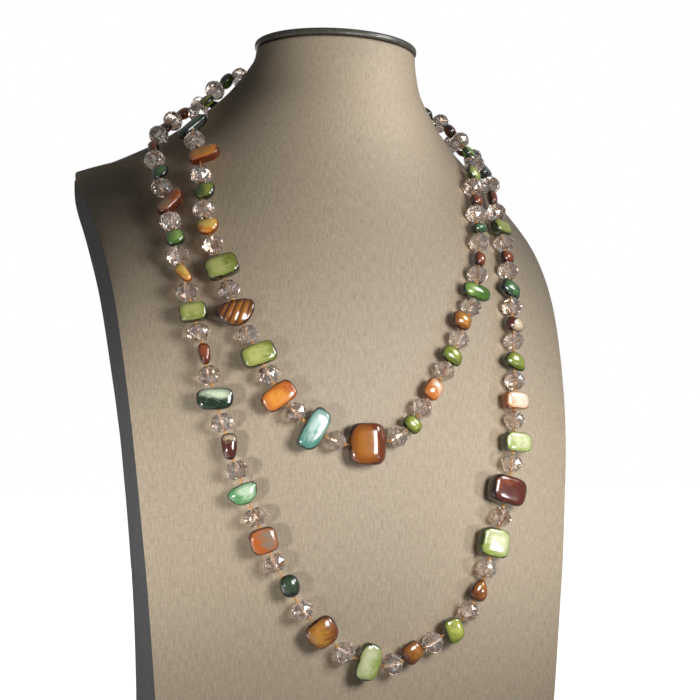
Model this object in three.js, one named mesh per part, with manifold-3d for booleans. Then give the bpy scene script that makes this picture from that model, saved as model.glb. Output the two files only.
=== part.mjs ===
// A knotted rope of crystal rondelles and dyed shell nuggets, worn in two turns round a linen neck bust.
// Millimetres, +Z up. The origin is on the ground under the neck's axis, and the chest faces -Y.

import * as THREE from 'three';
import { mergeVertices } from 'three/addons/utils/BufferGeometryUtils.js';
import Module from 'manifold-3d';

const wasm = await Module();
wasm.setup();

// Driving dimensions of the bust
const bustHeight = 316;
const shoulderHalfWidth = 110;
const neckHalfWidth = 37.5;
const neckHalfDepth = 29;
const chestForward = 53;
const shoulderSweep = 59;
const boardDepth = 36;
const grooveWidth = 1.4;
const grooveDepth = 2.2;
const boardChamfer = 1;
const capThickness = 2.8;
const capOverhang = 0.7;
const capRounding = 0.6;
const fitGap = 0.3;

// Driving dimensions of the rope
const crystalDiameter = 9.6;
const crystalLength = 7;
const crystalTableDiameter = 5.2;
const threadDiameter = 1;
const restingClearance = 0.6;
const crossingLift = 11.4;
const ownPieceSize = 9;

const crystalSides = 10;
const threadSides = 6;
const chipSides = 8;
const shellSides = 10;
const chestSegments = 16;
const backSegments = 6;
const capSegments = 20;

// Bust sections from the ground to the neck's top. Height is a share of the bust's height, width runs from
// the neck's (0) to the shoulders' (1), front from the neck's to the chest's, edge is a share of the
// shoulders' sweep, back of the neck's depth, and fullness runs from 1 (a flat bow) to 2 (an oval).
const bustSections = [
  { height: 0.000, width: 0.690, front: 0.875, edge: -0.63, back: 0.00, fullness: 1.00 },
  { height: 0.190, width: 0.755, front: 1.000, edge: -0.66, back: 0.00, fullness: 1.00 },
  { height: 0.424, width: 0.847, front: 0.958, edge: -0.58, back: 0.00, fullness: 1.05 },
  { height: 0.538, width: 0.890, front: 0.812, edge: -0.44, back: 0.00, fullness: 1.10 },
  { height: 0.633, width: 0.924, front: 0.625, edge: -0.24, back: 0.00, fullness: 1.15 },
  { height: 0.696, width: 0.952, front: 0.479, edge: 0.00, back: 0.00, fullness: 1.18 },
  { height: 0.744, width: 0.972, front: 0.375, edge: 0.27, back: 0.00, fullness: 1.20 },
  { height: 0.785, width: 0.993, front: 0.292, edge: 0.61, back: 0.00, fullness: 1.20 },
  { height: 0.816, width: 1.000, front: 0.229, edge: 0.90, back: 0.00, fullness: 1.20 },
  { height: 0.835, width: 0.995, front: 0.188, edge: 1.00, back: 0.06, fullness: 1.22 },
  { height: 0.845, width: 0.848, front: 0.167, edge: 0.97, back: 0.14, fullness: 1.30 },
  { height: 0.861, width: 0.669, front: 0.146, edge: 0.86, back: 0.28, fullness: 1.45 },
  { height: 0.880, width: 0.490, front: 0.125, edge: 0.74, back: 0.38, fullness: 1.65 },
  { height: 0.911, width: 0.283, front: 0.083, edge: 0.53, back: 0.52, fullness: 1.85 },
  { height: 0.946, width: 0.110, front: 0.042, edge: 0.29, back: 0.66, fullness: 1.95 },
  { height: 0.972, width: 0.034, front: 0.021, edge: 0.10, back: 0.84, fullness: 2.00 },
  { height: 0.984, width: 0.007, front: 0.000, edge: 0.02, back: 0.97, fullness: 2.00 },
  { height: 1.000, width: 0.000, front: 0.000, edge: 0.00, back: 1.00, fullness: 2.00 },
];

// Depth of the board behind the form, as a share of its depth, up to its top edge under the shoulders
const boardSections = [
  { height: 0.000, depth: 1.40 },
  { height: 0.190, depth: 1.00 },
  { height: 0.424, depth: 0.83 },
  { height: 0.538, depth: 0.90 },
  { height: 0.633, depth: 0.95 },
  { height: 0.696, depth: 0.95 },
  { height: 0.744, depth: 0.90 },
  { height: 0.785, depth: 0.66 },
  { height: 0.816, depth: 0.25 },
  { height: 0.826, depth: 0.15 },
];

const ringHeights = [
  0, 0.12, 0.24, 0.33, 0.424, 0.48, 0.538, 0.59, 0.633, 0.665, 0.696, 0.72, 0.744, 0.765, 0.785, 0.8, 0.816,
  0.826, 0.835, 0.84, 0.845, 0.853, 0.861, 0.87, 0.88, 0.895, 0.911, 0.929, 0.946, 0.96, 0.972, 0.986, 1,
];

// Route of each turn over the bust, from the nape over the left shoulder and round to the nape again: degrees
// from the front, height as a share of the bust's height, and lift as a share of the crossing's lift.
const innerRoute = [
  [-180, 0.951, 0], [-165, 0.959, 0], [-150, 0.964, 0], [-125, 0.962, 0], [-103, 0.953, 0],
  [-86, 0.937, 0], [-70, 0.910, 0], [-57, 0.880, 0.04], [-43, 0.850, 0.14], [-35.5, 0.813, 0.04],
  [-38, 0.753, 0], [-37.4, 0.687, 0], [-34.8, 0.620, 0], [-29.5, 0.544, 0], [-21.5, 0.470, 0],
  [-9, 0.429, 0], [3, 0.437, 0], [12, 0.489, 0], [20, 0.557, 0], [26.5, 0.627, 0],
  [29.8, 0.696, 0], [30.2, 0.759, 0], [31, 0.804, 0], [36.5, 0.839, 0], [48, 0.870, 0],
  [65, 0.900, 0], [84, 0.924, 0], [103, 0.943, 0], [125, 0.956, 0], [150, 0.959, 0.1],
  [165, 0.956, 0.72], [180, 0.951, 1],
];
const outerRoute = [
  [-180, 0.951, 1], [-165, 0.943, 0.72], [-150, 0.934, 0.1], [-125, 0.930, 0], [-105, 0.921, 0],
  [-91, 0.907, 0], [-77, 0.886, 0], [-62, 0.864, 0], [-51.5, 0.842, 0], [-47, 0.797, 0],
  [-47.6, 0.734, 0], [-47.8, 0.671, 0], [-45.6, 0.589, 0], [-42.6, 0.500, 0], [-38.5, 0.415, 0],
  [-32.5, 0.329, 0], [-24.5, 0.244, 0], [-12, 0.171, 0], [0, 0.146, 0], [12, 0.168, 0],
  [25, 0.212, 0], [33, 0.304, 0], [38.6, 0.402, 0], [40, 0.491, 0], [40.7, 0.582, 0],
  [40.6, 0.671, 0], [40, 0.741, 0], [39, 0.785, 0], [41.5, 0.826, 0], [51, 0.854, 0],
  [66, 0.875, 0], [82, 0.892, 0], [103, 0.910, 0], [125, 0.924, 0], [150, 0.932, 0],
  [165, 0.940, 0], [180, 0.951, 0],
];

// The shells of each turn in order, with a crystal before each: colour, slot along the thread, width across
// the thread, height along it, thickness, skew in degrees, shift of the body across the thread, squareness of
// the outline (2 is an oval) and taper of its width.
const innerShells = [
  ['green', 9.2, 8.4, 7.4, 5.4, 0, 0, 2.4, 0.1],
  ['brown', 9.2, 7.4, 6.8, 5.2, 8, 0, 2.6, 0],
  ['green', 9.4, 8.6, 7, 5.4, -10, 0, 2.6, 0.15],
  ['olive', 9.4, 8, 6.6, 4.6, 6, 0, 2.6, 0],
  ['forest', 11.6, 15.6, 5.4, 4.6, 38, 0.6, 4, 0],
  ['orange', 10.6, 14.2, 6.4, 6, -7, -2.6, 3.4, 0],
  ['moss', 7.7, 9.4, 8, 6, 4, -1.4, 2.8, 0.15],
  ['yellow', 8, 9.6, 7.4, 6, -4, 0, 2.6, 0.2],
  ['olive', 11.5, 14.2, 9.9, 6, 2, -0.5, 4.2, 0],
  ['tortoise', 10.6, 15.8, 11.4, 5.2, -5, 0.8, 2.3, 0.34],
  ['olive', 8.5, 14.6, 9.4, 6, -6, -0.2, 4.2, 0],
  ['orange', 9, 15.2, 9.2, 6, 3, 1.2, 4, 0],
  ['teal', 10.3, 18.7, 9.2, 6.4, 4, 0.4, 3.4, 0.08],
  ['amber', 18.6, 17.8, 16.6, 8.4, -4, 0.3, 3.8, 0],
  ['moss', 6.8, 8.8, 6.6, 5.4, 0, 0.6, 2.8, 0],
  ['peach', 9.9, 8.4, 9.6, 5.6, 0, -0.4, 3, 0],
  ['moss', 6.5, 10.6, 7.6, 5.6, -4, 0, 2.6, 0.15],
  ['amber', 7.2, 9.6, 8, 6.4, 6, -2.3, 2.8, 0],
  ['green', 6.6, 15, 7.4, 6, 10, 0.8, 3, 0],
  ['brown', 6.6, 5.4, 7, 5, 0, 0.4, 3, 0],
  ['forest', 5.1, 8.8, 4.6, 6, 14, 0.8, 2.6, 0],
  ['brown', 5.7, 6.6, 6, 5.4, 0, 1.5, 2.8, 0],
  ['olive', 9, 9.2, 7.2, 5.6, 0, -0.6, 2.8, 0],
  ['green', 7, 8.4, 6, 5, 0, 0, 2.6, 0],
  ['brown', 9.6, 7.8, 7.2, 5.2, 6, 0, 2.6, 0.1],
  ['olive', 9.6, 8.6, 7.4, 5.4, -6, 0, 2.6, 0],
  ['green', 9.6, 8, 7.4, 5.2, 0, 0, 2.8, 0.1],
  ['amber', 9.6, 8.4, 7.2, 5.4, 5, 0, 2.6, 0],
  ['moss', 9.6, 8, 7, 5.2, 0, 0, 2.6, 0],
];
const outerShells = [
  ['olive', 9, 8, 7, 5.2, 0, 0, 2.6, 0],
  ['amber', 9, 8.4, 7, 5.2, 6, 0, 2.6, 0.1],
  ['forest', 9.2, 4.6, 12, 4.2, 28, 2.4, 2.8, 0],
  ['orange', 8.2, 8.2, 7.6, 5.4, 0, 1.2, 2.3, 0],
  ['brown', 8.2, 6.8, 6.4, 4.8, 0, 0.6, 2.8, 0],
  ['brown', 10.2, 5, 7.4, 4.8, 10, 0, 2.6, 0.2],
  ['forest', 9.6, 7.6, 7, 5.2, -8, -1, 2.8, 0.2],
  ['amber', 10.3, 14, 6.4, 5.8, 36, -2.2, 3.2, 0.1],
  ['green', 7.6, 8, 7.6, 6.4, 0, -0.6, 2.6, 0],
  ['amber', 7.3, 4.8, 9.6, 5.4, 24, -0.6, 2.6, 0.2],
  ['olive', 8.4, 11.6, 8.4, 5.8, -8, 0, 3.8, 0],
  ['brown', 8.2, 5, 9.4, 5, -6, -0.3, 2.6, 0.2],
  ['green', 10.1, 15, 9, 6, -12, 0.3, 3.4, 0.06],
  ['brown', 9.9, 6.4, 11, 5.4, -14, 0, 2.8, 0.2],
  ['mint', 10.1, 12, 8.4, 6, 4, 0.8, 2.6, 0.3],
  ['brown', 10.1, 11.4, 10.6, 6.2, -6, 0.5, 3.6, 0],
  ['forest', 12, 8.2, 9.4, 6, -16, -0.8, 2.3, 0],
  ['amber', 15, 13.4, 12, 6.4, -8, 0.2, 2.8, 0.1],
  ['mint', 12.3, 15.6, 9.8, 6.2, 0, 0, 3.2, 0.06],
  ['tortoise', 10.1, 9, 9.6, 6, 10, -1.2, 3, 0.1],
  ['yellow_green', 11.1, 10.6, 8.8, 5.8, -10, 0.9, 3.4, 0.1],
  ['orange', 9.9, 8, 9.6, 5.8, 8, 0, 2.2, 0.32],
  ['pale_green', 12.9, 14.8, 12.6, 6, 8, 0, 4.2, 0],
  ['brown', 14, 18.8, 12.6, 7, 2, 0.3, 3.6, 0],
  ['pale_green', 9, 15, 9, 6, 4, 1.8, 3.8, 0],
  ['cream', 7.5, 13.2, 8, 6, 4, 0.5, 3.8, 0],
  ['moss', 8.4, 11.2, 8, 5.6, -14, 0.2, 2.6, 0.26],
  ['tortoise', 6.1, 9.6, 7.2, 5.8, 0, 0.9, 2.6, 0.1],
  ['forest', 7.9, 11, 8, 5.6, -24, 0.4, 3, 0.1],
  ['brown', 4.4, 7.4, 6, 5.4, 0, 0.7, 3, 0],
  ['olive', 7.5, 12.4, 7.2, 5.6, 8, 0.6, 3.6, 0],
  ['brown', 10.1, 4.8, 9.6, 5, 0, 0, 3, 0],
  ['forest', 14, 10.6, 8.6, 5.4, 24, -0.6, 3.2, 0],
  ['brown', 11.4, 5.6, 9, 4.8, -12, 0, 2.8, 0.2],
  ['forest', 6.5, 7.4, 5.8, 5, 0, 0, 2.8, 0],
  ['olive', 6.5, 7.8, 5.6, 5, 0, 0, 2.6, 0],
  ['brown', 6.5, 7, 5.8, 5, 0, 0, 2.6, 0],
  ['green', 6.5, 7.6, 5.6, 5, 0, 0, 2.6, 0],
  ['orange', 6.4, 7.4, 5.8, 5, 0, 0, 2.6, 0],
];

const finishes = {
  linen: { color: 0xb3a48c, roughness: 0.95, metalness: 0 },
  board: { color: 0x464544, roughness: 0.85, metalness: 0 },
  cap: { color: 0x4a463f, roughness: 0.7, metalness: 0 },
  rope: { color: 0xd9cfc8, roughness: 0.15, metalness: 0.1 },
  green: { color: 0x4f7a33, roughness: 0.25, metalness: 0.1 },
  forest: { color: 0x1f3d2a, roughness: 0.25, metalness: 0.1 },
  moss: { color: 0x6f7f2e, roughness: 0.25, metalness: 0.1 },
  olive: { color: 0x8c9150, roughness: 0.25, metalness: 0.1 },
  mint: { color: 0x8fc592, roughness: 0.25, metalness: 0.1 },
  teal: { color: 0x5f988a, roughness: 0.25, metalness: 0.1 },
  pale_green: { color: 0xc3c98f, roughness: 0.25, metalness: 0.1 },
  yellow_green: { color: 0xa3ab3c, roughness: 0.25, metalness: 0.1 },
  yellow: { color: 0xd59a3c, roughness: 0.25, metalness: 0.1 },
  orange: { color: 0xc8762c, roughness: 0.25, metalness: 0.1 },
  amber: { color: 0x9c5c1c, roughness: 0.2, metalness: 0.1 },
  tortoise: { color: 0x7c4a1c, roughness: 0.2, metalness: 0.1 },
  brown: { color: 0x6e3320, roughness: 0.25, metalness: 0.1 },
  peach: { color: 0xdc9a6c, roughness: 0.25, metalness: 0.1 },
  cream: { color: 0xe6c79a, roughness: 0.25, metalness: 0.1 },
};

const degree = Math.PI / 180;
const ropeLift = crystalDiameter / 2 + restingClearance;

function tangent(rows, column, index) {
  const rise = (i) => (rows[i + 1][column] - rows[i][column]) / (rows[i + 1].height - rows[i].height);
  if (index === 0) return rise(0);
  if (index === rows.length - 1) return rise(index - 1);
  const below = rise(index - 1);
  const above = rise(index);
  return below * above <= 0 ? 0 : (2 * below * above) / (below + above);
}

// A smooth value between the rows of a section table, with no overshoot
function between(rows, column, height) {
  let i = 0;
  while (i < rows.length - 2 && rows[i + 1].height < height) i += 1;
  const step = rows[i + 1].height - rows[i].height;
  const t = (height - rows[i].height) / step;
  const start = (2 * t ** 3 - 3 * t ** 2 + 1) * rows[i][column];
  const leaving = (t ** 3 - 2 * t ** 2 + t) * step * tangent(rows, column, i);
  const end = (3 * t ** 2 - 2 * t ** 3) * rows[i + 1][column];
  const arriving = (t ** 3 - t ** 2) * step * tangent(rows, column, i + 1);
  return start + leaving + end + arriving;
}

function bustSection(height) {
  const share = (column) => between(bustSections, column, height);
  return {
    half: neckHalfWidth + (shoulderHalfWidth - neckHalfWidth) * share('width'),
    front: -neckHalfDepth - (chestForward - neckHalfDepth) * share('front'),
    edge: shoulderSweep * share('edge'),
    back: neckHalfDepth * share('back'),
    fullness: share('fullness'),
  };
}

// A point of the bust's surface, at an angle from the front and a share of its height
function onBust(turn, height) {
  const section = bustSection(height);
  const side = Math.sin(turn * degree);
  const facing = Math.cos(turn * degree);
  const bow = Math.max(0, facing) ** (2 / section.fullness);
  const y = facing >= 0
    ? section.edge - (section.edge - section.front) * bow
    : section.edge - section.back * facing;
  return new THREE.Vector3(section.half * side, y, height * bustHeight);
}

function awayFromBust(turn, height) {
  const turnStep = 1.5;
  const heightStep = 0.006;
  const across = onBust(turn + turnStep, height).sub(onBust(turn - turnStep, height));
  const top = onBust(turn, Math.min(1, height + heightStep));
  const upward = top.sub(onBust(turn, height - heightStep));
  return across.cross(upward).normalize();
}

// A closed solid through rings of points that run anticlockwise seen from above. Rings may differ in their
// number of points, and turned gives each ring's start in steps of its own points.
function loft(rings, turned = rings.map(() => 0)) {
  const triangles = [];
  let low = 0;
  for (let r = 0; r < rings.length - 1; r += 1) {
    const high = low + rings[r].length;
    const lowCount = rings[r].length;
    const highCount = rings[r + 1].length;
    let i = 0;
    let j = 0;
    while (i < lowCount || j < highCount) {
      const lowNext = i < lowCount ? (i + 1 + turned[r]) / lowCount : Infinity;
      const highNext = j < highCount ? (j + 1 + turned[r + 1]) / highCount : Infinity;
      if (lowNext <= highNext) {
        triangles.push(low + (i % lowCount), low + ((i + 1) % lowCount), high + (j % highCount));
        i += 1;
      } else {
        triangles.push(low + (i % lowCount), high + ((j + 1) % highCount), high + (j % highCount));
        j += 1;
      }
    }
    low = high;
  }
  for (let i = 1; i < rings[0].length - 1; i += 1) {
    triangles.push(0, i + 1, i);
  }
  for (let i = 1; i < rings.at(-1).length - 1; i += 1) {
    triangles.push(low, low + i, low + i + 1);
  }
  const geometry = new THREE.BufferGeometry();
  const positions = rings.flat().flatMap((point) => [point.x, point.y, point.z]);
  geometry.setAttribute('position', new THREE.Float32BufferAttribute(positions, 3));
  geometry.setIndex(triangles);
  return geometry;
}

function solidOf(geometry) {
  const plain = geometry.clone();
  plain.deleteAttribute('normal');
  plain.deleteAttribute('uv');
  const merged = mergeVertices(plain, 1e-4);
  return new wasm.Manifold(new wasm.Mesh({
    numProp: 3,
    vertProperties: new Float32Array(merged.attributes.position.array),
    triVerts: new Uint32Array(merged.index.array),
  }));
}

function geometryOf(solid) {
  const mesh = solid.getMesh();
  const geometry = new THREE.BufferGeometry();
  geometry.setAttribute('position', new THREE.BufferAttribute(new Float32Array(mesh.vertProperties), 3));
  geometry.setIndex(Array.from(mesh.triVerts));
  return geometry;
}

const group = new THREE.Group();

function addPiece(name, geometry, finish) {
  const shown = geometry.index ? geometry.toNonIndexed() : geometry;
  shown.computeVertexNormals();
  const mesh = new THREE.Mesh(shown, new THREE.MeshStandardMaterial(finishes[finish]));
  mesh.name = name;
  group.add(mesh);
}

function neckBust() {
  const rings = ringHeights.map((height) => {
    const ring = [];
    for (let i = 0; i <= chestSegments; i += 1) {
      ring.push(onBust(-90 + (180 * i) / chestSegments, height));
    }
    for (let i = 1; i < backSegments; i += 1) {
      ring.push(onBust(90 + (180 * i) / backSegments, height));
    }
    return ring;
  });
  return loft(rings);
}

function bustBack() {
  const slopeStep = 0.002;
  const topHeight = boardSections.at(-1).height - slopeStep;
  const heights = ringHeights.filter((height) => height < topHeight).concat(topHeight);
  const rings = heights.map((height) => {
    const { half, edge } = bustSection(height);
    const rise = bustSection(height + slopeStep).edge - edge;
    const gap = fitGap * Math.hypot(1, rise / (slopeStep * bustHeight));
    const front = edge + gap;
    const shoulder = front + grooveWidth;
    const rear = edge + boardDepth * between(boardSections, 'depth', height);
    const wall = half - fitGap;
    const profile = [
      [half - grooveDepth, front],
      [half - grooveDepth, shoulder],
      [wall, shoulder],
      [wall, rear - boardChamfer],
      [wall - boardChamfer, rear],
    ];
    const mirrored = profile.map(([x, y]) => [-x, y]).reverse();
    return profile.concat(mirrored).map(([x, y]) => new THREE.Vector3(x, y, height * bustHeight));
  });
  return loft(rings);
}

function neckCap() {
  const base = bustHeight + fitGap;
  const levels = [
    [-capRounding, 0],
    [0, capRounding],
    [0, capThickness - capRounding],
    [-capRounding, capThickness],
  ];
  const rings = levels.map(([inset, rise]) => {
    const ring = [];
    for (let i = 0; i < capSegments; i += 1) {
      const angle = (2 * Math.PI * i) / capSegments;
      const x = (neckHalfWidth + capOverhang + inset) * Math.cos(angle);
      const y = (neckHalfDepth + capOverhang + inset) * Math.sin(angle);
      ring.push(new THREE.Vector3(x, y, base + rise));
    }
    return ring;
  });
  return loft(rings);
}

// Axes at a place on the thread: X across it, Y along it and Z away from the bust
function axesAt(middle, direction, away) {
  const along = direction.clone().normalize();
  const out = away.clone().addScaledVector(along, -away.dot(along)).normalize();
  const across = along.clone().cross(out);
  return new THREE.Matrix4().makeBasis(across, along, out).setPosition(middle);
}

// A ring round the thread's direction, which is Y
function ringAround(sides, radius, level, turned) {
  const ring = [];
  for (let i = 0; i < sides; i += 1) {
    const angle = (2 * Math.PI * (i + turned)) / sides;
    ring.push(new THREE.Vector3(radius * Math.sin(angle), level, radius * Math.cos(angle)));
  }
  return ring;
}

// A superellipse's reach at an angle, for an outline between an oval (2) and a rectangle
function reachAt(angle, squareness) {
  const sum = Math.abs(Math.cos(angle)) ** squareness + Math.abs(Math.sin(angle)) ** squareness;
  return sum ** (-1 / squareness);
}

function threadRing(level) {
  return ringAround(threadSides, threadDiameter / 2, level, 0);
}

function crystalRings() {
  const half = crystalLength / 2;
  const table = crystalTableDiameter / 2;
  return [
    threadRing(-half),
    ringAround(crystalSides, table, -half, 0),
    ringAround(crystalSides, crystalDiameter / 2, 0, 0.5),
    ringAround(crystalSides, table, half, 0),
    threadRing(half),
  ];
}

// A chip too small to be a piece of its own, as sections across the thread
function chipRings({ width, height, thickness, skew, shift, squareness, taper }) {
  const endShare = 0.6;
  const bellyLevel = 0.22;
  const half = height / 2;
  const section = (level, share) => {
    const wide = (width / 2) * share * (1 - (taper * level) / half);
    const thick = (thickness / 2) * share;
    return Array.from({ length: chipSides }, (unused, i) => {
      const angle = (2 * Math.PI * (i + 0.5)) / chipSides;
      const reach = reachAt(angle, squareness);
      const x = shift * share + wide * reach * Math.sin(angle);
      const lean = share < 1 ? 0 : x * Math.tan(skew * degree);
      return new THREE.Vector3(x, level + lean, thick * reach * Math.cos(angle));
    });
  };
  return [
    threadRing(-half),
    section(-half, endShare),
    section(-height * bellyLevel, 1),
    section(height * bellyLevel, 1),
    section(half, endShare),
    threadRing(half),
  ];
}

// A shell's outline is a rounded rectangle across and along the thread, with its two tables inset
function shellGeometry({ width, height, thickness, skew, shift, squareness, taper }) {
  const tableShare = 0.74;
  const edgeShare = 0.22;
  const levels = [
    [tableShare, -thickness / 2],
    [1, -thickness * edgeShare],
    [1, thickness * edgeShare],
    [tableShare, thickness / 2],
  ];
  const lean = skew * degree;
  const rings = levels.map(([share, rise]) => {
    const ring = [];
    for (let i = 0; i < shellSides; i += 1) {
      const angle = (2 * Math.PI * (i + 0.5)) / shellSides;
      const cosine = Math.cos(angle);
      const sine = Math.sin(angle);
      const reach = reachAt(angle, squareness);
      const up = (share * reach * sine * height) / 2;
      const across = ((share * reach * cosine * width) / 2) * (1 - (taper * 2 * up) / height);
      const x = shift + across * Math.cos(lean) - up * Math.sin(lean);
      const y = across * Math.sin(lean) + up * Math.cos(lean);
      ring.push(new THREE.Vector3(x, y, rise));
    }
    return ring;
  });
  return loft(rings);
}

// What the drill takes out of a shell
function holeCore(length) {
  const radius = threadDiameter / 2 + fitGap / Math.cos(Math.PI / threadSides);
  return loft([
    ringAround(threadSides, radius, -length / 2, 0),
    ringAround(threadSides, radius, length / 2, 0),
  ]);
}

function readShell([colour, slot, width, height, thickness, skew, shift, squareness, taper]) {
  const ownPiece = Math.max(width, height) >= ownPieceSize;
  return { colour, slot, width, height, thickness, skew, shift, squareness, taper, ownPiece };
}

// One turn of the rope: the thread runs straight through each bead and bends only at the knots between them
function addTurn(turnName, route, shellRows) {
  const shells = shellRows.map(readShell);
  const base = new THREE.CatmullRomCurve3(
    route.map(([turn, height]) => onBust(turn, height)), false, 'centripetal');
  const centre = new THREE.CatmullRomCurve3(
    route.map(([turn, height, lift]) => onBust(turn, height)
      .addScaledVector(awayFromBust(turn, height), ropeLift + crossingLift * lift)), false, 'centripetal');
  centre.arcLengthDivisions = 2000;
  const slots = shells.flatMap((shell) => [crystalLength, shell.slot]);
  const routeLength = centre.getLength();
  const beadLength = slots.reduce((sum, slot) => sum + slot, 0);
  const knotLength = (routeLength - beadLength) / slots.length;

  const stops = [fitGap / 2];
  let travelled = 0;
  for (const slot of slots) {
    travelled += slot + knotLength;
    stops.push(travelled);
  }
  stops[stops.length - 1] = routeLength - fitGap / 2;
  const places = stops.map((stop) => centre.getUtoTmapping(stop / routeLength));
  const knots = places.map((place) => centre.getPoint(place));
  const frames = slots.map((slot, i) => {
    const middle = (places[i] + places[i + 1]) / 2;
    const away = centre.getPoint(middle).sub(base.getPoint(middle));
    const start = knots[i];
    const end = knots[i + 1];
    return axesAt(start.clone().add(end).multiplyScalar(0.5), end.clone().sub(start), away);
  });

  const rings = [];
  const turned = [];
  const addRings = (newRings, frame) => newRings.forEach((ring, i) => {
    rings.push(ring.map((point) => point.applyMatrix4(frame)));
    turned.push(ring.length === crystalSides && i === 2 ? 0.5 : 0);
  });
  addRings([threadRing((fitGap - crystalLength - knotLength) / 2)], frames[0]);
  slots.forEach((slot, i) => {
    const shell = shells[(i - 1) / 2];
    if (!shell) {
      addRings(crystalRings(), frames[i]);
    } else if (!shell.ownPiece) {
      addRings(chipRings(shell), frames[i]);
    } else {
      addRings([threadRing(-slot / 2), threadRing(slot / 2)], frames[i]);
      const body = solidOf(shellGeometry(shell).applyMatrix4(frames[i]));
      const hole = solidOf(holeCore(shell.width + shell.height).applyMatrix4(frames[i]));
      const number = String((i + 1) / 2).padStart(2, '0');
      const name = `shell_${turnName}_${number}_${shell.colour}`;
      addPiece(name, geometryOf(body.subtract(hole)), shell.colour);
    }
  });
  addRings([threadRing((slots.at(-1) + knotLength) / 2 - fitGap / 2)], frames.at(-1));
  addPiece(`rope_${turnName}`, loft(rings, turned), 'rope');
}

addPiece('neck_bust', neckBust(), 'linen');
addPiece('bust_back', bustBack(), 'board');
addPiece('neck_cap', neckCap(), 'cap');
addTurn('inner', innerRoute, innerShells);
addTurn('outer', outerRoute, outerShells);

export default group;
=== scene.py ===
import math
import random

import bmesh
import bpy
import numpy as np
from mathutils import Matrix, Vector, noise
from mathutils.bvhtree import BVHTree


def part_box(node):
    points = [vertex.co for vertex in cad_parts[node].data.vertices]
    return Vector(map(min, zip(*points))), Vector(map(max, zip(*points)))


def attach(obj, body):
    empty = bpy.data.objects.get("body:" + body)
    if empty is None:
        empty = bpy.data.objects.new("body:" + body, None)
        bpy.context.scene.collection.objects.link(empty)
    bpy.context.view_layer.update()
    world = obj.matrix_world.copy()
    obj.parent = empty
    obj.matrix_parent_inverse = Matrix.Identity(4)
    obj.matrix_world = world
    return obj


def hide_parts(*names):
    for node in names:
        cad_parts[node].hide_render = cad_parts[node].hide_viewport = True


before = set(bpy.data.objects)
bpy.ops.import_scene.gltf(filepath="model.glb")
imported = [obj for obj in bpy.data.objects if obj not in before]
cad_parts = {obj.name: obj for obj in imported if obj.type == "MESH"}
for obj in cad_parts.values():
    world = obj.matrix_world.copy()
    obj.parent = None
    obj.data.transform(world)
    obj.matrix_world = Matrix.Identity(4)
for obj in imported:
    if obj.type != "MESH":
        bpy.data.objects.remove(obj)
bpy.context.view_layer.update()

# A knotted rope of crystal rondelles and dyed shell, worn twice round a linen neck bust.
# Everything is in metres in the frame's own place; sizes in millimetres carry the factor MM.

MM = 0.001
BODY = "root"

# The rope
CRYSTAL_DIAMETER = 9.6 * MM
CRYSTAL_LENGTH = 7.0 * MM
CRYSTAL_TABLE = 5.2 * MM
CRYSTAL_SHOULDER = 8.4 * MM
CRYSTAL_SHOULDER_RISE = 1.75 * MM
CRYSTAL_SIDES = 10
DRILL_RADIUS = 0.55 * MM
PLY_DIAMETER = 0.38 * MM
PLY_PITCH = 2.4 * MM
THREAD_STEP = 0.6 * MM
KNOT_WRAP_RADIUS = 0.45 * MM
KNOT_THREAD_RADIUS = 0.38 * MM
KNOT_HEIGHT = 0.7 * MM
FRAME_THREAD_EDGE = 0.5 * MM
EDGE_TOLERANCE = 0.02 * MM
LEVEL_TOLERANCE = 0.01 * MM
MERGE_DISTANCE = 0.002 * MM
DRILL_SIDES = 10
STRAND_SIDES = 6
KNOT_TURNS = 1.8
KNOT_TURN_STEPS = 9
PLY_CLOSENESS = 0.93
TURN_SEEDS = {"inner": 1, "outer": 2}
CRYSTAL_SEEDS = {"inner": 11, "outer": 29}
KNOT_SEED = 5

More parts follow.
